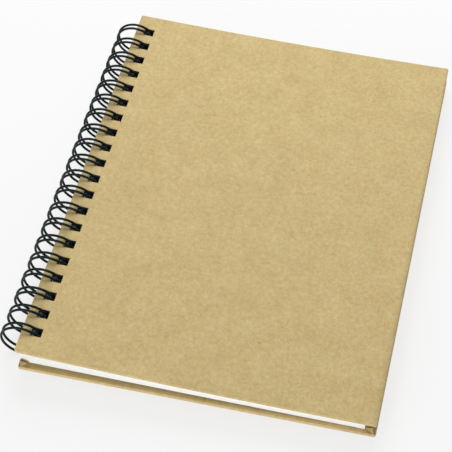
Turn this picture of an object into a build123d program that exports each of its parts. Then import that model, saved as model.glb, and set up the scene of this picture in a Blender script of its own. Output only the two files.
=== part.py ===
from build123d import *
import math
import os

# A twin-loop bound notebook lying on its back cover.
# Millimetres, +Z up, +Y towards the head of the pages, binding wire on the -X side.
# Every piece is drawn with x = 0 at the covers' bound edge and y = 0 at mid-height.
# The whole set is shifted along X at the end, so that it is centred on the origin.

# covers: greyboard wrapped in kraft paper, one solid each
COVER_WIDTH = 135.0
COVER_HEIGHT = 180.0
BOARD_THICK = 2.0
CORNER_RADIUS = 0.7
EDGE_ROUND = 0.55
FRONT_RISE = 4.0        # how much higher the front cover stands at the wire

# page block
PAGES_THICK = 4.8       # at the fore edge
PAGES_LEFT = 0.9        # bound edge of the sheets, from the covers' bound edge
PAGES_RIGHT = 4.3       # set back from the covers' fore edge
PAGES_MARGIN = 1.6      # set back from the covers' head and tail
PAGES_CLEAR = 0.3       # under the curved front cover

# wire: three loops to the inch
LOOP_PITCH = 25.4 / 3
LOOP_MARGIN = 9.0       # least distance from the head or tail to the first loop
LOOP_RADIUS = 8.2       # centre line
LOOP_X = -0.3           # ring centre, from the covers' bound edge
LOOP_SPACING = 2.3      # between the two wires of one loop
WIRE_DIAMETER = 1.0
SEAM_SINK = 0.13        # the comb's bends begin this far below the back cover's face
SEAM_CLEAR = 0.25       # between the seam and the page block that rests over it
SEAM_GAP = 22.0         # degrees from there up to the loops' closed ends
BEND_RADIUS = 1.4

# punched holes
HOLE_WIDTH = 4.1
HOLE_HEIGHT = 3.8

# folds of the covering paper, standing up at the back cover's inner corners
FOLD_INSET = 0.35       # from the cover's edges
FOLD_THICK = 0.95
FOLD_ROOT = 0.2         # sunk into the board
FOLD_FOOT = 1.3         # its width on the board
FOLD_REACH = 3.8        # how far it leans in along the margin
FOLD_LOW = 2.8          # height at its inner end
FOLD_HIGH = 3.8
FOLD_PEAK = 0.9         # along the margin, where it is highest

wire_r = WIRE_DIAMETER / 2
ring_z = LOOP_RADIUS + wire_r
# at the bound edge the covers' outer faces lie equally far from the ring's centre
stack_thick = 2 * BOARD_THICK + PAGES_THICK + PAGES_CLEAR + FRONT_RISE
back_bottom = ring_z - stack_thick / 2
back_top = back_bottom + BOARD_THICK
front_low = back_top + PAGES_THICK + PAGES_CLEAR
front_high = front_low + BOARD_THICK
half_height = COVER_HEIGHT / 2
loop_count = int((COVER_HEIGHT - 2 * LOOP_MARGIN) / LOOP_PITCH) + 1
loops_y = [(i - (loop_count - 1) / 2) * LOOP_PITCH for i in range(loop_count)]
left_end = LOOP_X - LOOP_RADIUS - wire_r
shift_x = -(left_end + COVER_WIDTH) / 2

# The seam runs between the last sheet and the back cover, and lifts the page block.
page_x1 = COVER_WIDTH - PAGES_RIGHT
seam_angle = math.asin((ring_z - back_top + SEAM_SINK) / LOOP_RADIUS)
seam_x = LOOP_X + LOOP_RADIUS * math.cos(seam_angle) + BEND_RADIUS * math.sin(seam_angle)
seam_z = back_top - SEAM_SINK + BEND_RADIUS * math.cos(seam_angle)
pages_slope = (seam_z + wire_r + SEAM_CLEAR - back_top) / (page_x1 - seam_x)
pages_lift = pages_slope * (page_x1 - PAGES_LEFT)

# The front cover bends in one arc: level at the fore edge, rising to the wire.
bend_r = (COVER_WIDTH ** 2 + FRONT_RISE ** 2) / (2 * FRONT_RISE)


def bent_z(x, drop):
    """Height of the bent surface that lies `drop` below the front cover's top."""
    radius = bend_r + drop
    return front_high + bend_r - math.sqrt(radius ** 2 - (COVER_WIDTH - x) ** 2)


def bent_edge(x0, x1, drop):
    """Arc in the XZ plane along that surface from x0 to x1."""
    points = [(x, 0, bent_z(x, drop)) for x in (x0, (x0 + x1) / 2, x1)]
    return Edge.make_three_point_arc(*points)


def slab_from(edges, length):
    """Extrude a closed outline in the XZ plane, centred on y = 0."""
    face = Face(Wire(edges))
    return extrude(face, amount=length / 2, dir=(0, 1, 0), both=True)


def punched(solid, low, high):
    """Cut the row of square binding holes through a solid, centred on the span
    that the wire crosses between the solid's heights low and high."""
    rises = [abs(low - ring_z), abs(high - ring_z)]
    least = 0 if low < ring_z < high else min(rises)
    inner = math.sqrt((LOOP_RADIUS - wire_r) ** 2 - max(rises) ** 2)
    outer = math.sqrt((LOOP_RADIUS + wire_r) ** 2 - least ** 2)
    x = LOOP_X + (inner + outer) / 2
    print("holes start at", round(x - HOLE_WIDTH / 2, 3))
    box = Box(HOLE_WIDTH, HOLE_HEIGHT, COVER_WIDTH)
    holes = [Pos(x, y, ring_z) * box for y in loops_y]
    return solid - holes


def eased(solid):
    """Round a cover's four corners and then its outer edges."""
    solid = fillet(solid.edges().filter_by(Axis.Z), CORNER_RADIUS)
    return fillet(solid.edges() - solid.edges().filter_by(Axis.Z), EDGE_ROUND)


def corner_fold(side, end):
    """One folded ear of paper; side is -1 at the wire, end is -1 at the tail."""
    outline = Wire.make_polygon([
        (FOLD_INSET, 0, back_top - FOLD_ROOT),
        (FOLD_INSET + FOLD_FOOT, 0, back_top - FOLD_ROOT),
        (FOLD_INSET + FOLD_FOOT, 0, back_top),
        (FOLD_INSET + FOLD_REACH, 0, back_top + FOLD_LOW),
        (FOLD_INSET + FOLD_PEAK, 0, back_top + FOLD_HIGH)])
    fold = extrude(Face(outline), amount=FOLD_THICK, dir=(0, 1, 0))
    fold = Pos(0, -half_height + FOLD_INSET, 0) * fold
    if end > 0:
        fold = mirror(fold, about=Plane.XZ)
    if side > 0:
        fold = Pos(COVER_WIDTH, 0, 0) * mirror(fold, about=Plane.YZ)
    return fold


# front cover
front_outline = [
    bent_edge(0, COVER_WIDTH, 0),
    Edge.make_line((COVER_WIDTH, 0, front_high), (COVER_WIDTH, 0, front_low)),
    bent_edge(0, COVER_WIDTH, BOARD_THICK),
    Edge.make_line((0, 0, bent_z(0, BOARD_THICK)), (0, 0, bent_z(0, 0))),
]
front_cover = eased(slab_from(front_outline, COVER_HEIGHT))
hole_x = LOOP_X + LOOP_RADIUS * math.sqrt(0.5)
front_cover = punched(front_cover, bent_z(hole_x, BOARD_THICK), bent_z(hole_x, 0))

# back cover
back_board = Box(COVER_WIDTH, COVER_HEIGHT, BOARD_THICK)
back_board = Pos(COVER_WIDTH / 2, 0, back_bottom + BOARD_THICK / 2) * back_board
back_cover = punched(eased(back_board), back_bottom, back_top)
for side in (-1, 1):
    for end in (-1, 1):
        back_cover += corner_fold(side, end)

# page block, resting on the back cover at the fore edge and on the seam at the wire
pages_drop = BOARD_THICK + PAGES_CLEAR
page_corners = [
    (PAGES_LEFT, 0, bent_z(PAGES_LEFT, pages_drop)),
    (PAGES_LEFT, 0, back_top + pages_lift),
    (page_x1, 0, back_top),
    (page_x1, 0, bent_z(page_x1, pages_drop)),
]
page_outline = [bent_edge(PAGES_LEFT, page_x1, pages_drop)]
page_outline += [Edge.make_line(page_corners[k], page_corners[k + 1]) for k in range(3)]
page_block = slab_from(page_outline, COVER_HEIGHT - 2 * PAGES_MARGIN)
page_block = punched(page_block, page_corners[1][2], page_corners[0][2])

# twin-loop wire: one length of wire, bent to a comb and rolled closed, with its
# seam between the last sheet and the back cover
back_angle = -seam_angle
front_angle = math.radians(SEAM_GAP) - seam_angle
top_angle = (back_angle + 2 * math.pi + front_angle) / 2
along_back = Vector(-math.sin(back_angle), 0, math.cos(back_angle))
along_front = Vector(math.sin(front_angle), 0, -math.cos(front_angle))
across = Vector(0, 1, 0)


def on_ring(angle, y):
    """Point of the ring's centre line."""
    x = LOOP_X + LOOP_RADIUS * math.cos(angle)
    return Vector(x, y, ring_z + LOOP_RADIUS * math.sin(angle))


route = []
for i, y in enumerate(loops_y):
    low = y - LOOP_SPACING / 2
    high = y + LOOP_SPACING / 2
    tip = on_ring(front_angle, y) + along_front * (LOOP_SPACING / 2)
    route.append(Edge.make_three_point_arc(
        on_ring(back_angle, low), on_ring(top_angle, low), on_ring(front_angle, low)))
    route.append(Edge.make_three_point_arc(
        on_ring(front_angle, low), tip, on_ring(front_angle, high)))
    route.append(Edge.make_three_point_arc(
        on_ring(front_angle, high), on_ring(top_angle, high), on_ring(back_angle, high)))
    if i < loop_count - 1:
        start = on_ring(back_angle, high)
        finish = on_ring(back_angle, loops_y[i + 1] - LOOP_SPACING / 2)
        near = BEND_RADIUS * (1 - math.sqrt(0.5))
        far = BEND_RADIUS * math.sqrt(0.5)
        turn_a = start + along_back * BEND_RADIUS + across * BEND_RADIUS
        turn_b = finish + along_back * BEND_RADIUS - across * BEND_RADIUS
        route.append(Edge.make_three_point_arc(
            start, start + along_back * far + across * near, turn_a))
        route.append(Edge.make_line(turn_a, turn_b))
        route.append(Edge.make_three_point_arc(
            turn_b, finish + along_back * far - across * near, finish))
path = Wire(route)
# the path sets off around the ring, away from the comb's bends
section_plane = Plane(origin=on_ring(back_angle, loops_y[0] - LOOP_SPACING / 2),
                      x_dir=across, z_dir=along_back * -1)
twin_loop_wire = sweep(section_plane * Circle(wire_r), path=path)

os.makedirs("parts", exist_ok=True)
pieces = {
    "front_cover": front_cover,
    "page_block": page_block,
    "back_cover": back_cover,
    "twin_loop_wire": twin_loop_wire,
}
for name, piece in pieces.items():
    placed = Pos(shift_x, 0, 0) * piece
    export_step(placed, f"parts/{name}.step")
    box = placed.bounding_box()
    print(name, "solids", len(placed.solids()), "volume", round(placed.volume, 1),
          "min", [round(v, 2) for v in box.min], "max", [round(v, 2) for v in box.max])
print("hinge axis x", round(LOOP_X + shift_x, 3), "z", round(ring_z, 3))
print("back cover underside z", round(back_bottom, 3), "pages lift", round(pages_lift, 3))
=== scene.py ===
import bpy
import math
import numpy as np
from mathutils import Matrix, Vector


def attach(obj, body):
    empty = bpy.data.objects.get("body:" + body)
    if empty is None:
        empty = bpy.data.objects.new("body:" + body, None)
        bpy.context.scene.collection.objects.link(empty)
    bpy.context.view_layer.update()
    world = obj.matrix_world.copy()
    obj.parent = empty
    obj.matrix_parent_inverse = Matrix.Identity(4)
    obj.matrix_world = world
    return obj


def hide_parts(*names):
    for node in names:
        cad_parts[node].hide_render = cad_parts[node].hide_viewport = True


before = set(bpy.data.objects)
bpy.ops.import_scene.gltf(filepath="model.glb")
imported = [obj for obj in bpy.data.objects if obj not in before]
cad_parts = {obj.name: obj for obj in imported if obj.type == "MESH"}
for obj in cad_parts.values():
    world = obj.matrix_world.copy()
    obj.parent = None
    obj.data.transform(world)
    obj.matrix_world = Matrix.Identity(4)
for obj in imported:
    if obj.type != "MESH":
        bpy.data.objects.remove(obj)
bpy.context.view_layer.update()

# ---------------------------------------------------------------------------
# Back cover: 2 mm greyboard, cut square and wrapped in brown kraft paper.
# The wrap is turned in over the edges, a lining sheet is pasted over the
# turn-ins, and twenty square holes are punched along the bound edge.
MM = 0.001
SHIFT_X = -63.0                     # from the covers' bound edge to the row frame
COVER_W = 135.0
COVER_H = 180.0
BOARD = 2.0
CORNER_R = 0.7                      # corners of the board, seen from above
RIM_R = 0.55                        # the wrap's roll over the board's edge
RIM_STEPS = 6
BACK_LOW = 2.15                     # underside above the table
FORE_WIDE = (1.1, 2.7)              # softened fore edge: reach at the head and at the tail
FORE_DEEP = (0.5, 1.25)             # its depth there
FORE_POWER = 1.5                    # how late along the edge the softening grows
TURN_IN = 7.0                       # paper folded over onto the inner face
LINING_STEP = 0.16                  # the lining stands this much above the turn-in
LINING_SLOPE = 0.12                 # width of the slope at the lining's edge
LOOPS = 20
PITCH = 25.4 / 3                    # three loops to the inch
HOLE_W = 4.1
HOLE_H = 3.8
DRAW_REACH = 0.6                    # paper drawn in around a punched hole
DRAW_DEPTH = 0.16
DRAW_BEHIND = 0.4                   # share of that depth on the far face
DRAW_LINES = np.array([0.0, 0.1, 0.25, 0.45, DRAW_REACH])   # grid lines outwards from a hole
LINE_CLEAR = 0.8                    # even grid lines keep this far from those
CROSS_STEP = 6.0                    # between even lines across this level board
ALONG_STEP = 3.0                    # and along the bound edge of both boards
FLAT_TOP = 0.1                      # faces within this depth of the top take the lining
TINY = 1e-9                         # keeps a division by zero out
loop_y = (np.arange(LOOPS) - (LOOPS - 1) / 2) * PITCH
hole_sides = (loop_y[:, None] + np.array([-1, 1]) * HOLE_H / 2).ravel()
back_hole = 3.38                    # bound edge to the near side of the holes


def hole_distance(x, y, start):
    """Plan distance in mm from each point to the nearest hole: the length of
    the vector by which x and y lie outside the hole's two spans."""
    dx = np.maximum(np.maximum(start - x, x - start - HOLE_W), 0)
    dy = np.abs(y[..., None] - loop_y).min(-1) - HOLE_H / 2
    return np.hypot(dx, np.maximum(dy, 0))


def lines(low, high, start, border, inner, step):
    """Grid lines across a board: close lines at both borders, at both sides of
    the holes, and evenly spaced ones between. Along the bound edge start is
    None, and across it start is where the holes begin."""
    edge = np.concatenate([border, inner])
    spans = hole_sides if start is None else np.array([start, start + HOLE_W])
    side = np.where(np.arange(len(spans)) % 2 == 0, -1, 1)
    around = (spans[:, None] + side[:, None] * DRAW_LINES).ravel()
    even = np.arange(low + inner[-1] + step, high - inner[-1], step)
    clear = np.abs(even[:, None] - around).min(1) > LINE_CLEAR
    found = np.concatenate([low + edge, high - edge, around, even[clear]])
    found = np.unique(found.round(4))
    return found[(found >= low) & (found <= high)]


def punched_board(xs, ys, start, faces, corner, colours):
    """Closed mesh of a board from two height grids over the lines xs and ys.
    faces(x, y, edge) gives the top and bottom heights, edge being each point's
    distance in from the outline. Cells inside the holes are left out, and
    walls join the two grids wherever a filled cell meets an empty one.
    Square corner cells become quarter discs: a point keeps its direction from
    the corner's centre and takes its larger coordinate as its radius. colours
    are the material numbers of top, bottom, outer walls and holes' walls."""
    x, y = np.meshgrid(xs, ys, indexing="ij")
    middle = np.array([xs[0] + xs[-1], ys[0] + ys[-1]]) / 2
    half = np.array([xs[-1] - xs[0], ys[-1] - ys[0]]) / 2
    out = np.stack([x, y], -1) - middle
    past = np.maximum(np.abs(out) - (half - corner), 0)
    largest = past.max(-1)
    length = np.maximum(np.hypot(past[..., 0], past[..., 1]), TINY)
    shrink = np.where(past.min(-1) > 0, largest / length, 1.0)[..., None]
    out = np.sign(out) * (np.minimum(np.abs(out), half - corner) + past * shrink)
    plan = out + middle
    edge = (half - np.abs(np.stack([x, y], -1) - middle)).min(-1)
    top, bottom = faces(plan[..., 0], plan[..., 1], edge)
    nx, ny = x.shape
    mid_x = (xs[1:] + xs[:-1]) / 2
    mid_y = (ys[1:] + ys[:-1]) / 2
    cell = hole_distance(*np.meshgrid(mid_x, mid_y, indexing="ij"), start) > 0
    points = np.concatenate([
        np.concatenate([plan, top[..., None]], -1).reshape(-1, 3),
        np.concatenate([plan, bottom[..., None]], -1).reshape(-1, 3)])
    upper = np.arange(nx * ny).reshape(nx, ny)
    lower = upper + nx * ny
    quads = [
        np.stack([upper[:-1, :-1], upper[1:, :-1], upper[1:, 1:], upper[:-1, 1:]], -1)[cell],
        np.stack([lower[:-1, :-1], lower[:-1, 1:], lower[1:, 1:], lower[1:, :-1]], -1)[cell]]
    kinds = [np.full(len(quads[0]), colours[0]), np.full(len(quads[1]), colours[1])]
    padded = np.pad(cell, 1)
    along_y = np.stack([lower[:, :-1], lower[:, 1:], upper[:, 1:], upper[:, :-1]], -1)
    along_x = np.stack([lower[1:, :], lower[:-1, :], upper[:-1, :], upper[1:, :]], -1)
    left, right = padded[:-1, 1:-1], padded[1:, 1:-1]
    below, above = padded[1:-1, :-1], padded[1:-1, 1:]
    outer_x = np.zeros_like(left)
    outer_x[[0, -1]] = True
    outer_y = np.zeros_like(below)
    outer_y[:, [0, -1]] = True
    for wall, filled, empty, outer in (
            (along_y, left, right, outer_x), (along_y[..., ::-1], right, left, outer_x),
            (along_x, below, above, outer_y), (along_x[..., ::-1], above, below, outer_y)):
        there = filled & ~empty
        quads.append(wall[there])
        kinds.append(np.where(outer[there], colours[2], colours[3]))
    quads = np.concatenate(quads)
    used, index = np.unique(quads, return_inverse=True)
    return points[used], index.reshape(quads.shape), np.concatenate(kinds)


def add_mesh(name, points, faces, materials, kinds=None, smooth=True):
    """Put points in mm, shifted along X into the row frame, and lists of their
    numbers as faces into a mesh object at the origin."""
    mesh = bpy.data.meshes.new(name)
    moved = (points + np.array([SHIFT_X, 0, 0])) * MM
    mesh.from_pydata(moved.tolist(), [], faces)
    for material in materials:
        mesh.materials.append(material)
    if kinds is not None:
        mesh.polygons.foreach_set("material_index", kinds.astype(np.int32))
    mesh.polygons.foreach_set("use_smooth", np.full(len(faces), smooth))
    mesh.update()
    piece = bpy.data.objects.new(name, mesh)
    bpy.context.scene.collection.objects.link(piece)
    return piece


def crease(piece, degrees):
    """Shade edges sharper than the angle as hard."""
    piece.data.set_sharp_from_angle(angle=math.radians(degrees))


def linear(hex_colour):
    """sRGB hex to linear RGBA: each channel by the sRGB curve."""
    channels = np.array([int(hex_colour[k:k + 2], 16) for k in (1, 3, 5)]) / 255
    low = channels / 12.92
    high = ((channels + 0.055) / 1.055) ** 2.4
    return (*np.where(channels <= 0.04045, low, high).tolist(), 1.0)


def add_node(tree, kind, settings=None, links=None):
    """Add one node. Settings whose name is an input go to that socket, others to
    the node; links gives an output of another node for each input."""
    made = tree.nodes.new(kind)
    for key, value in (settings or {}).items():
        if isinstance(key, int) or key in made.inputs:
            made.inputs[key].default_value = value
        else:
            setattr(made, key, value)
    for key, source in (links or {}).items():
        tree.links.new(source, made.inputs[key])
    return made


def new_material(name):
    """An empty node material with its output, and its tree."""
    material = bpy.data.materials.new(name)
    material.use_nodes = True
    material.node_tree.nodes.clear()
    return material, material.node_tree


def kraft(name, dark, light, warm, fleck):
    """Machine-made kraft paper. Brown fibres lie in four directions over a
    cloudy sheet whose pulp is warmer in some places than in others, with a few
    small dark specks; matt, with a soft tooth."""
    material, tree = new_material(name)
    place = add_node(tree, "ShaderNodeTexCoord").outputs["Object"]
    # fibres 2 mm long and 0.4 mm wide, coarser than real ones so that they show
    fibres = None
    for turn, seed in ((0.4, 0.0), (1.2, 3.7), (1.9, 8.1), (2.7, 5.3)):
        laid = add_node(tree, "ShaderNodeMapping",
                        {"vector_type": "TEXTURE", "Rotation": (0, 0, turn),
                         "Location": (seed, seed, 0), "Scale": (0.002, 0.0004, 0.002)},
                        {"Vector": place})
        noise = add_node(tree, "ShaderNodeTexNoise",
                         {"Scale": 1.0, "Detail": 2.0, "Roughness": 0.5},
                         {"Vector": laid.outputs[0]}).outputs["Fac"]
        if fibres is None:
            fibres = noise
        else:
            fibres = add_node(tree, "ShaderNodeMath", {"operation": "ADD"},
                              {0: fibres, 1: noise}).outputs[0]
    # flocks of pulp about 1.2 mm across, and clouds of 9 mm
    flock = add_node(tree, "ShaderNodeTexNoise",
                     {"Scale": 620.0, "Detail": 3.0, "Roughness": 0.6},
                     {"Vector": place}).outputs["Fac"]
    cloud = add_node(tree, "ShaderNodeTexNoise",
                     {"Scale": 95.0, "Detail": 3.0, "Roughness": 0.55},
                     {"Vector": place}).outputs["Fac"]
    speck = add_node(tree, "ShaderNodeTexNoise",
                     {"Scale": 900.0, "Detail": 1.0, "Roughness": 0.4},
                     {"Vector": place}).outputs["Fac"]
    # the three are weighed together and spread over the ramp from dark to light
    tone = add_node(tree, "ShaderNodeMath", {"operation": "MULTIPLY_ADD", 1: 0.3, 2: -0.02},
                    {0: fibres}).outputs[0]
    tone = add_node(tree, "ShaderNodeMath", {"operation": "MULTIPLY_ADD", 1: 0.6},
                    {0: flock, 2: tone}).outputs[0]
    tone = add_node(tree, "ShaderNodeMath", {"operation": "MULTIPLY_ADD", 1: 0.34},
                    {0: cloud, 2: tone}).outputs[0]
    spread = add_node(tree, "ShaderNodeMapRange",
                      {"From Min": 0.72, "From Max": 1.32}, {"Value": tone}).outputs[0]
    ramp = add_node(tree, "ShaderNodeValToRGB", None, {"Fac": spread})
    ramp.color_ramp.elements[0].color = linear(dark)
    ramp.color_ramp.elements[1].color = linear(light)
    # warmer patches 2.5 mm across
    patch = add_node(tree, "ShaderNodeTexNoise",
                     {"noise_dimensions": "4D", "W": 2.0, "Scale": 400.0,
                      "Detail": 3.0, "Roughness": 0.65}, {"Vector": place}).outputs["Fac"]
    warmth = add_node(tree, "ShaderNodeMapRange",
                      {"From Min": 0.42, "From Max": 0.66, "To Max": 0.5},
                      {"Value": patch}).outputs[0]
    pulp = add_node(tree, "ShaderNodeMix",
                    {"data_type": "RGBA", "blend_type": "MULTIPLY", 7: linear(warm)},
                    {0: warmth, 6: ramp.outputs[0]}).outputs[2]
    spots = add_node(tree, "ShaderNodeMapRange",
                     {"From Min": 0.75, "From Max": 0.86}, {"Value": speck}).outputs[0]
    colour = add_node(tree, "ShaderNodeMix", {"data_type": "RGBA", 7: linear(fleck)},
                      {0: spots, 6: pulp}).outputs[2]
    bump = add_node(tree, "ShaderNodeBump", {"Strength": 0.22, "Distance": 0.00012},
                    {"Height": tone}).outputs[0]
    shader = add_node(tree, "ShaderNodeBsdfPrincipled",
                      {"Roughness": 0.78, "IOR": 1.45, "Specular IOR Level": 0.32},
                      {"Base Color": colour, "Normal": bump}).outputs[0]
    add_node(tree, "ShaderNodeOutputMaterial", None, {"Surface": shader})
    return material


def greyboard():
    """Cut greyboard: recycled pulp in thin plies, so the wall of a hole shows
    fine level bands with ragged fibres. The tone is darker than fresh-cut
    board: partly the board's own grey-brown, partly painted shade for the
    shade deep inside the small holes."""
    material, tree = new_material("greyboard_core_painted_shade")
    place = add_node(tree, "ShaderNodeTexCoord").outputs["Object"]
    plies = add_node(tree, "ShaderNodeMapping", {"Scale": (300.0, 300.0, 5000.0)},
                     {"Vector": place}).outputs[0]
    band = add_node(tree, "ShaderNodeTexNoise", {"Scale": 1.0, "Detail": 3.0},
                    {"Vector": plies}).outputs["Fac"]
    ramp = add_node(tree, "ShaderNodeValToRGB", None, {"Fac": band})
    ramp.color_ramp.elements[0].position = 0.3
    ramp.color_ramp.elements[1].position = 0.7
    # painted shade: both tones are darkened past the board's own grey-brown, for the shade
    # inside the holes
    ramp.color_ramp.elements[0].color = linear("#2A261B")
    ramp.color_ramp.elements[1].color = linear("#4A4333")
    bump = add_node(tree, "ShaderNodeBump", {"Strength": 0.5, "Distance": 0.0001},
                    {"Height": band}).outputs[0]
    shader = add_node(tree, "ShaderNodeBsdfPrincipled", {"Roughness": 0.95},
                      {"Base Color": ramp.outputs[0], "Normal": bump}).outputs[0]
    add_node(tree, "ShaderNodeOutputMaterial", None, {"Surface": shader})
    return material


# the wrap is the lighter sheet; the lining inside is a shade browner
kraft_wrap = kraft("kraft_paper_wrap", "#B09966", "#D2BF8C", "#FFF3DE", "#857452")
kraft_lining = kraft("kraft_paper_lining", "#AA915F", "#C6B07D", "#FFF2DE", "#7F6C4A")
# the cut board shows only on the holes' walls, coloured partly as painted shade
board_core_painted_shade = greyboard()

# grid lines inwards from the outline: over the rolled rim, then to the lining
rim_lines = RIM_R * (1 - np.cos(np.linspace(0, math.pi / 2, RIM_STEPS)))
turn_in_lines = np.array([CORNER_R, 0.9, 1.2, 1.55, 1.9, 2.3, 2.8, 4.5,
                          TURN_IN - LINING_SLOPE, TURN_IN])
cover_ys = lines(-COVER_H / 2, COVER_H / 2, None, rim_lines, turn_in_lines, ALONG_STEP)


def roll(edge):
    """Drop of the wrapped rim: a quarter circle of the rim's radius."""
    inward = np.clip(RIM_R - edge, 0, RIM_R)
    return RIM_R - np.sqrt(RIM_R ** 2 - inward ** 2)


def softened(x, y):
    """Drop of the outer face towards the fore edge, which is rounded by use: a
    quarter ellipse, wider than it is deep, that grows from head to tail."""
    share = (0.5 - y / COVER_H) ** FORE_POWER
    wide = FORE_WIDE[0] + (FORE_WIDE[1] - FORE_WIDE[0]) * share
    deep = FORE_DEEP[0] + (FORE_DEEP[1] - FORE_DEEP[0]) * share
    inward = np.clip(1 - (COVER_W - x) / wide, 0, 1)
    return deep * (1 - np.sqrt(1 - inward ** 2))


def drawn(x, y, start):
    """Depth to which punching pulls the paper down around the holes."""
    near = np.clip(1 - hole_distance(x, y, start) / DRAW_REACH, 0, 1)
    return DRAW_DEPTH * near ** 2


def lining(x, y):
    """1 on the lining sheet, 0 on the turn-ins, with a narrow slope between.
    The lining reaches right to the bound edge."""
    inset = np.minimum(COVER_W - x, COVER_H / 2 - np.abs(y))
    return np.clip((inset - TURN_IN + LINING_SLOPE) / LINING_SLOPE, 0, 1)


def back_faces(x, y, edge):
    """A level board: inner face up, outer face down."""
    pull = drawn(x, y, back_hole)
    rim = roll(edge)
    step = LINING_STEP * (1 - lining(x, y))
    top = BACK_LOW + BOARD - np.maximum(np.maximum(rim, step), pull)
    bottom = BACK_LOW + np.maximum(np.maximum(rim, softened(x, y)), pull * DRAW_BEHIND)
    return top, bottom


back_xs = lines(0.0, COVER_W, back_hole, rim_lines, turn_in_lines, CROSS_STEP)
points, quads, kinds = punched_board(back_xs, cover_ys, back_hole, back_faces,
                                     CORNER_R, (0, 0, 0, 1))
centre = points[quads].mean(1)
inside = (kinds == 0) & (centre[:, 2] > BACK_LOW + BOARD - FLAT_TOP)
inside &= lining(centre[:, 0], centre[:, 1]) > 0.5
kinds[inside] = 2
back_board = add_mesh("back_cover_board", points, quads.tolist(),
                      (kraft_wrap, board_core_painted_shade, kraft_lining), kinds)
crease(back_board, 50)
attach(back_board, "back_cover")
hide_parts("back_cover")

# ---------------------------------------------------------------------------
# Corner folds: where the wrap is turned in at each inner corner of the back
# cover, the gathered paper stands up as a small stiff ear, glued at its foot:
# two plies with a slit between them, joined by the fold at the corner.
EAR_INSET = 0.35
EAR_THICK = 0.95
PLY = 0.32
SOFT_EDGE = 0.08                    # bevel on the plies' edges
EAR_OUTLINE = np.array([            # from its inset: along the margin, above the board
    [0.0, -0.2], [1.3, -0.2], [1.3, 0.0], [3.8, 2.8], [0.91, 3.8]])
EAR_WEB = np.array([                # the fold that joins the plies at the cover's corner
    [0.0, -0.2], [0.35, -0.2], [0.75, 1.6], [1.15, 3.6], [0.91, 3.8]])


def plate(outline, near, far, side, end):
    """Ten points of one plate: its outline carried along Y from near to far,
    distances in from the ear's outer face; side and end mirror it into its
    corner."""
    along = EAR_INSET + outline[:, 0]
    across = EAR_INSET + np.array([near, far])
    x = np.broadcast_to(along if side < 0 else COVER_W - along, (2, len(outline)))
    y = np.broadcast_to((end * (COVER_H / 2 - across))[:, None], x.shape)
    z = np.broadcast_to(BACK_LOW + BOARD + outline[:, 1], x.shape)
    return np.stack([x, y, z], -1).reshape(-1, 3)


ring = np.arange(len(EAR_OUTLINE))
ahead = np.roll(ring, -1)
walls = np.stack([ring, ahead, ahead + len(ring), ring + len(ring)], -1).tolist()
caps = [ring[::-1].tolist(), (ring + len(ring)).tolist()]
ear_points, ear_faces = [], []
for side, end in ((-1, -1), (-1, 1), (1, -1), (1, 1)):
    for outline, near, far in ((EAR_OUTLINE, 0, PLY), (EAR_OUTLINE, EAR_THICK - PLY, EAR_THICK),
                               (EAR_WEB, 0, EAR_THICK)):
        first = 2 * len(ring) * len(ear_points)
        ear_points.append(plate(outline, near, far, side, end))
        turn = -1 if side * end < 0 else 1
        ear_faces += [[v + first for v in face[::turn]] for face in walls + caps]
# the same wrap, browner: painted shade for the shade the small ears stand in
ear_paper_painted_shade = kraft("kraft_paper_ear_painted_shade", "#8F7B4E", "#B09A69", "#FFF3DE", "#6F5F40")
corner_folds = add_mesh("corner_folds", np.concatenate(ear_points), ear_faces, (ear_paper_painted_shade,),
                        smooth=False)
soften = corner_folds.modifiers.new("soft_folds", "BEVEL")
soften.width = SOFT_EDGE * MM
soften.segments = 2
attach(corner_folds, "back_cover")

# ---------------------------------------------------------------------------
# Page block: 48 loose leaves of white uncoated paper, drawn as 24 sheets of
# twice the thickness so that they show. Punched with the covers, they fan
# open towards the wire, and their edges are not quite flush.
SHEETS = 24
SHEET_THICK = 0.17
PAGES_THICK = 4.8                   # at the fore edge
PAGES_LEFT = 0.9                    # bound edge, from the covers' bound edge
PAGES_RIGHT = 4.3                   # set back from the fore edge
PAGES_MARGIN = 1.6                  # set back from the head and the tail
PAGES_LIFT = 1.86                   # bound edge held up by the wire's seam
PAGES_CLEAR = 0.3                   # under the front cover
FRONT_RISE = 4.0                    # how much higher the front cover stands at the wire
FRONT_HIGH = BACK_LOW + BOARD + PAGES_THICK + PAGES_CLEAR + BOARD
RING_R = 8.2                        # the loops' centre line: radius and centre
RING_X = -0.3
RING_Z = 8.7
HANG = 3.2                          # from the wire back to the near side of the holes
SQUARE = 0.01                       # sheets have sharp corners
SHEET_LINES = 11                    # grid lines across a sheet, from its holes outwards
STRAY = 0.07                        # how far an edge strays from the stack
bend_r = (COVER_W ** 2 + FRONT_RISE ** 2) / (2 * FRONT_RISE)


def bent(x, drop):
    """Height of the front cover's arc: level at the fore edge, rising to the
    wire, at a depth below its top surface."""
    return FRONT_HIGH + bend_r - np.sqrt((bend_r + drop) ** 2 - (COVER_W - x) ** 2)


def page_floor(x):
    """The straight underside of the block, from the seam to the fore edge."""
    share = (COVER_W - PAGES_RIGHT - x) / (COVER_W - PAGES_RIGHT - PAGES_LEFT)
    return BACK_LOW + BOARD + PAGES_LIFT * share


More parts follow.
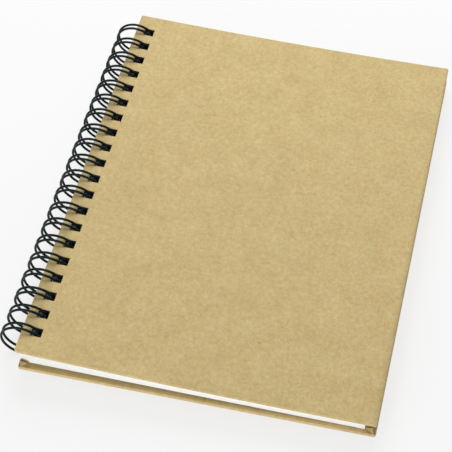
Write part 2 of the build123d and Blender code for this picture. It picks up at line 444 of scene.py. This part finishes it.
def uncoated_paper(name, dark, light):
    """Uncoated writing paper: matt, with a faint cloudy formation between two
    tones and a fine tooth that only shows in raking light. Made with dark
    tones, it is painted shade on the punched edges, for the shade inside the holes."""
    material, tree = new_material(name)
    place = add_node(tree, "ShaderNodeTexCoord").outputs["Object"]
    formation = add_node(tree, "ShaderNodeTexNoise",
                         {"Scale": 350.0, "Detail": 4.0, "Roughness": 0.6},
                         {"Vector": place}).outputs["Fac"]
    tooth = add_node(tree, "ShaderNodeTexNoise", {"Scale": 4000.0, "Detail": 2.0},
                     {"Vector": place}).outputs["Fac"]
    ramp = add_node(tree, "ShaderNodeValToRGB", None, {"Fac": formation})
    ramp.color_ramp.elements[0].position = 0.35
    ramp.color_ramp.elements[1].position = 0.65
    ramp.color_ramp.elements[0].color = linear(dark)
    ramp.color_ramp.elements[1].color = linear(light)
    bump = add_node(tree, "ShaderNodeBump", {"Strength": 0.12, "Distance": 0.00005},
                    {"Height": tooth}).outputs[0]
    shader = add_node(tree, "ShaderNodeBsdfPrincipled",
                      {"Roughness": 0.88, "Specular IOR Level": 0.25},
                      {"Base Color": ramp.outputs[0], "Normal": bump}).outputs[0]
    add_node(tree, "ShaderNodeOutputMaterial", None, {"Surface": shader})
    return material


def sheet_middle(x, k):
    """Mid-surface of sheet k, at its place in the stack between the block's
    floor and its arched top."""
    low = page_floor(x) + SHEET_THICK / 2
    high = bent(x, BOARD + PAGES_CLEAR) - SHEET_THICK / 2
    return low + (high - low) * k / (SHEETS - 1)


def sheet_faces(k):
    """The height function of sheet k: its mid-surface, with half the sheet's
    thickness on each side."""
    def heights(x, y, edge):
        middle = sheet_middle(x, k)
        return middle + SHEET_THICK / 2, middle - SHEET_THICK / 2
    return heights


random = np.random.default_rng(7)
stray = random.uniform(0, STRAY, (SHEETS, 4))
sheet_points, sheet_quads, sheet_kinds, total = [], [], [], 0
for k in range(SHEETS):
    # the wire crosses this sheet here, and the sheet hangs from it
    rise = sheet_middle(RING_R, k) - RING_Z
    page_hole = RING_X + math.sqrt(RING_R ** 2 - rise ** 2) - HANG
    low_x = PAGES_LEFT + stray[k, 0]
    high_x = COVER_W - PAGES_RIGHT - stray[k, 1]
    high_y = COVER_H / 2 - PAGES_MARGIN - stray[k, 2]
    low_y = -COVER_H / 2 + PAGES_MARGIN + stray[k, 3]
    sheet_xs = np.concatenate([[low_x, page_hole, page_hole + HOLE_W],
                               np.linspace(page_hole + HOLE_W, high_x, SHEET_LINES)[1:]])
    sheet_ys = np.concatenate([[low_y], hole_sides, [high_y]])
    points, quads, kinds = punched_board(sheet_xs, sheet_ys, page_hole, sheet_faces(k),
                                         SQUARE, (0, 0, 0, 1))
    sheet_points.append(points)
    sheet_quads.append(quads + total)
    sheet_kinds.append(kinds)
    total += len(points)
pages = add_mesh("page_sheets", np.concatenate(sheet_points),
                 np.concatenate(sheet_quads).tolist(),
                 (uncoated_paper("white_uncoated_paper", "#F8F8F5", "#FDFDFC"),
                  # painted shade: the sheets' hole walls are near black for the shade inside
                  # the punched holes
                  uncoated_paper("punched_paper_edge_painted_shade", "#2E2C27", "#4A4841")),
                 np.concatenate(sheet_kinds))
crease(pages, 40)
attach(pages, "wire_and_pages")
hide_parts("page_block")

# ---------------------------------------------------------------------------
# Front cover: the same wrapped greyboard as the back, with the wrap outside
# and the lining inside. The rings hold its bound edge up, so it lies in one
# shallow arc from the wire down to the fore edge.
ARC_STEP = 3.0                      # between even grid lines round the arc
front_hole = 3.71                   # bound edge to the near side of the holes


def front_faces(x, y, edge):
    """A bent board: outer face up, lined face down."""
    pull = drawn(x, y, front_hole)
    rim = roll(edge)
    step = LINING_STEP * (1 - lining(x, y))
    top = bent(x, 0) - np.maximum(np.maximum(rim, softened(x, y)), pull)
    bottom = bent(x, BOARD) + np.maximum(np.maximum(rim, step), pull * DRAW_BEHIND)
    return top, bottom


front_xs = lines(0.0, COVER_W, front_hole, rim_lines, turn_in_lines, ARC_STEP)
points, quads, kinds = punched_board(front_xs, cover_ys, front_hole, front_faces,
                                     CORNER_R, (0, 2, 0, 1))
centre = points[quads].mean(1)
kinds[(kinds == 2) & (lining(centre[:, 0], centre[:, 1]) < 0.5)] = 0
front_board = add_mesh("front_cover_board", points, quads.tolist(),
                       (kraft_wrap, board_core_painted_shade, kraft_lining), kinds)
crease(front_board, 50)
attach(front_board, "front_cover")
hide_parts("front_cover")

# ---------------------------------------------------------------------------
# Twin-loop wire: one length of nylon-coated steel wire, bent into a comb of
# twenty double loops, threaded through the holes and rolled shut. Its seam
# lies between the last sheet and the back cover.
WIRE_R = 0.5
WIRE_GAP = 2.3                      # between the two wires of a loop
BEND_R = 1.4                        # where a loop turns into the comb's straight bar
BACK_ANGLE = -math.radians(34.8)    # round the ring from level: the seam
FRONT_ANGLE = -math.radians(12.8)   # and the loops' closed ends
LEAN = 0.10                         # no loop is quite upright: the most it leans
LEAN_TURN = 2.4                     # phase of the lean from loop to loop, in radians
LEAN_START = 0.7
RING_STEPS = 64                     # points round a ring, a closed end and a bend
TIP_STEPS = 12
BEND_STEPS = 7
WIRE_SIDES = 14


def wire_route():
    """Centre line of the comb, as an angle round the ring, a distance off the
    ring along its tangent, and a place along Y. Each loop is an arc from the
    seam to the closed end, a half circle in the tangent plane, and the arc
    back; quarter bends and a straight bar lead to the next loop. Returned with
    the ring's radius at each point, the first axis of the tube's frame. A
    loop leans along Y by a sine of its number, about half the ring's radius up."""
    sweep = np.linspace(BACK_ANGLE + 2 * math.pi, FRONT_ANGLE, RING_STEPS)
    half = np.linspace(0, math.pi, TIP_STEPS)[1:-1]
    leave = np.linspace(0, math.pi / 2, BEND_STEPS)[1:]
    enter = np.linspace(0, math.pi / 2, BEND_STEPS)[:-1]
    reach = WIRE_GAP / 2
    level = np.zeros(RING_STEPS)
    bar = np.full(len(leave) + len(enter), BACK_ANGLE)
    angle = np.concatenate([sweep, np.full(len(half), FRONT_ANGLE), sweep[::-1], bar])
    off = np.concatenate([level, -reach * np.sin(half), level,
                          BEND_R * np.sin(leave), BEND_R * np.cos(enter)])
    along = np.concatenate([level - reach, -reach * np.cos(half), level + reach,
                            reach + BEND_R * (1 - np.cos(leave)),
                            PITCH - reach - BEND_R * (1 - np.sin(enter))])
    radial = np.stack([np.cos(angle), 0 * angle, np.sin(angle)], -1)
    tangent = np.stack([-np.sin(angle), 0 * angle, np.cos(angle)], -1)
    loop = np.array([RING_X, 0, RING_Z]) + RING_R * radial + off[:, None] * tangent
    route = np.broadcast_to(loop, (LOOPS, *loop.shape)).copy()
    lean = LEAN * np.sin(np.arange(LOOPS) * LEAN_TURN + LEAN_START)
    route[..., 1] = along + loop_y[:, None] + lean[:, None] * (loop[:, 2] / RING_R - 0.5)
    radials = np.broadcast_to(radial, route.shape)
    used = LOOPS * len(loop) - len(bar)
    return route.reshape(-1, 3)[:used], radials.reshape(-1, 3)[:used]


def tube(route, radial, radius, sides):
    """A circle carried along the route in the plane of the ring's radius and
    the route's side direction, closed by a fan at each cut end."""
    ahead = np.gradient(route, axis=0)
    ahead /= np.linalg.norm(ahead, axis=1, keepdims=True)
    side = np.cross(ahead, radial)
    side /= np.linalg.norm(side, axis=1, keepdims=True)
    up = np.cross(side, ahead)
    turn = np.linspace(0, 2 * math.pi, sides, endpoint=False)
    skin = route[:, None] + radius * (np.cos(turn)[:, None] * up[:, None]
                                      + np.sin(turn)[:, None] * side[:, None])
    count = len(route)
    index = np.arange(count * sides).reshape(count, sides)
    ahead_index = np.roll(index, -1, axis=1)
    quads = np.stack([index[:-1], index[1:], ahead_index[1:], ahead_index[:-1]], -1)
    quads = quads.reshape(-1, 4)
    return skin.reshape(-1, 3), quads, index[0], index[-1]


def coated_wire():
    """Black nylon coating on steel wire: smooth satin plastic with a faint
    ripple from the dip, so highlights run along it in soft grey streaks."""
    material, tree = new_material("black_nylon_coating")
    place = add_node(tree, "ShaderNodeTexCoord").outputs["Object"]
    ripple = add_node(tree, "ShaderNodeTexNoise", {"Scale": 1400.0, "Detail": 2.0},
                      {"Vector": place}).outputs["Fac"]
    wear = add_node(tree, "ShaderNodeTexNoise", {"Scale": 260.0, "Detail": 3.0},
                    {"Vector": place}).outputs["Fac"]
    ramp = add_node(tree, "ShaderNodeValToRGB", None, {"Fac": wear})
    ramp.color_ramp.elements[0].position = 0.35
    ramp.color_ramp.elements[1].position = 0.75
    ramp.color_ramp.elements[0].color = linear("#04100F")
    ramp.color_ramp.elements[1].color = linear("#0B1A1A")
    rough = add_node(tree, "ShaderNodeMapRange", {"To Min": 0.26, "To Max": 0.42},
                     {"Value": wear}).outputs[0]
    bump = add_node(tree, "ShaderNodeBump", {"Strength": 0.10, "Distance": 0.00004},
                    {"Height": ripple}).outputs[0]
    shader = add_node(tree, "ShaderNodeBsdfPrincipled",
                      {"IOR": 1.53, "Specular IOR Level": 0.2,
                       "Specular Tint": linear("#B4DCDC")},
                      {"Base Color": ramp.outputs[0], "Roughness": rough,
                       "Normal": bump}).outputs[0]
    add_node(tree, "ShaderNodeOutputMaterial", None, {"Surface": shader})
    return material


def cut_steel():
    """Bare end of the wire where it was cropped: bright steel with shear marks."""
    material, tree = new_material("cropped_steel_end")
    place = add_node(tree, "ShaderNodeTexCoord").outputs["Object"]
    marks = add_node(tree, "ShaderNodeTexNoise", {"Scale": 6000.0, "Detail": 2.0},
                     {"Vector": place}).outputs["Fac"]
    rough = add_node(tree, "ShaderNodeMapRange", {"To Min": 0.3, "To Max": 0.5},
                     {"Value": marks}).outputs[0]
    shader = add_node(tree, "ShaderNodeBsdfPrincipled",
                      {"Base Color": linear("#A9ABAB"), "Metallic": 1.0},
                      {"Roughness": rough}).outputs[0]
    add_node(tree, "ShaderNodeOutputMaterial", None, {"Surface": shader})
    return material


route, radials = wire_route()
points, quads, first, last = tube(route, radials, WIRE_R, WIRE_SIDES)
wire_faces = quads.tolist() + [first.tolist(), last[::-1].tolist()]
ends = np.arange(len(wire_faces)) >= len(quads)
wire = add_mesh("twin_loop_wire_coil", points, wire_faces, (coated_wire(), cut_steel()),
                ends, ~ends)
crease(wire, 60)
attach(wire, "wire_and_pages")
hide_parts("twin_loop_wire")

# ---------------------------------------------------------------------------
# Studio: a table top of white acrylic, softly lit from below, a large softbox
# behind the notebook, a weaker fill in front on the left, and a pale surround.
HALF_FLOOR = 30.0                   # metres; its far edge shows only below about 8 degrees
corners = [(-HALF_FLOOR, -HALF_FLOOR, 0), (HALF_FLOOR, -HALF_FLOOR, 0),
           (HALF_FLOOR, HALF_FLOOR, 0), (-HALF_FLOOR, HALF_FLOOR, 0)]
floor_mesh = bpy.data.meshes.new("table_top")
floor_mesh.from_pydata(corners, [], [(0, 1, 2, 3)])
table, tree = new_material("lit_white_acrylic")
shader = add_node(tree, "ShaderNodeBsdfPrincipled",
                  {"Base Color": linear("#7C7C7C"), "Roughness": 0.9,
                   "Specular IOR Level": 0.1,
                   "Emission Color": (1, 1, 1, 1), "Emission Strength": 0.73}).outputs[0]
add_node(tree, "ShaderNodeOutputMaterial", None, {"Surface": shader})
floor_mesh.materials.append(table)
floor = bpy.data.objects.new("table_top", floor_mesh)
bpy.context.scene.collection.objects.link(floor)

world = bpy.data.worlds.new("studio")
bpy.context.scene.world = world
world.use_nodes = True
world.node_tree.nodes["Background"].inputs["Color"].default_value = (1, 1, 1, 1)
world.node_tree.nodes["Background"].inputs["Strength"].default_value = 0.5


def aim(placed, target):
    """Turn a lamp or camera so that its -Z axis points at the target."""
    way = Vector(target) - placed.location
    placed.rotation_euler = way.to_track_quat("-Z", "Y").to_euler()


def softbox(name, place, size, watts):
    """A square area lamp aimed at the notebook."""
    lamp = bpy.data.lights.new(name, "AREA")
    lamp.shape = "SQUARE"
    lamp.size = size
    lamp.energy = watts
    lit = bpy.data.objects.new(name, lamp)
    bpy.context.scene.collection.objects.link(lit)
    lit.location = place
    aim(lit, (0, 0, 0))


softbox("key_softbox", (-0.08, 0.5, 0.5), 0.5, 3.8)
softbox("fill_softbox", (-0.35, -0.88, 0.24), 0.6, 4.6)

# Camera: looking down over the tail edge from a little to the right.
AZIMUTH = math.radians(14.426)
ELEVATION = math.radians(51.565)
ROLL = math.radians(-1.554)
DISTANCE = 0.62096                  # along the axis to the frame's origin
ASIDE = (0.00431, 0.00336)          # of the origin from the axis: right, up
SENSOR = 36
LENS = 3.4065708 * SENSOR           # focal length, as a multiple of the sensor's width
fwd = np.array([-math.sin(AZIMUTH) * math.cos(ELEVATION),
                math.cos(AZIMUTH) * math.cos(ELEVATION), -math.sin(ELEVATION)])
level = np.array([math.cos(AZIMUTH), math.sin(AZIMUTH), 0])
upright = np.cross(level, fwd)
right = math.cos(ROLL) * level + math.sin(ROLL) * upright
up = -math.sin(ROLL) * level + math.cos(ROLL) * upright
camera_data = bpy.data.cameras.new("camera")
camera_data.sensor_width = SENSOR
camera_data.lens = LENS
camera_data.clip_start = 0.01
camera = bpy.data.objects.new("camera", camera_data)
bpy.context.scene.collection.objects.link(camera)
turned = np.eye(4)
turned[:3, 0] = right
turned[:3, 1] = up
turned[:3, 2] = -fwd
turned[:3, 3] = -(ASIDE[0] * right + ASIDE[1] * up + DISTANCE * fwd)
camera.matrix_world = Matrix(turned.tolist())
bpy.context.scene.camera = camera
bpy.context.scene.view_settings.view_transform = "Standard"
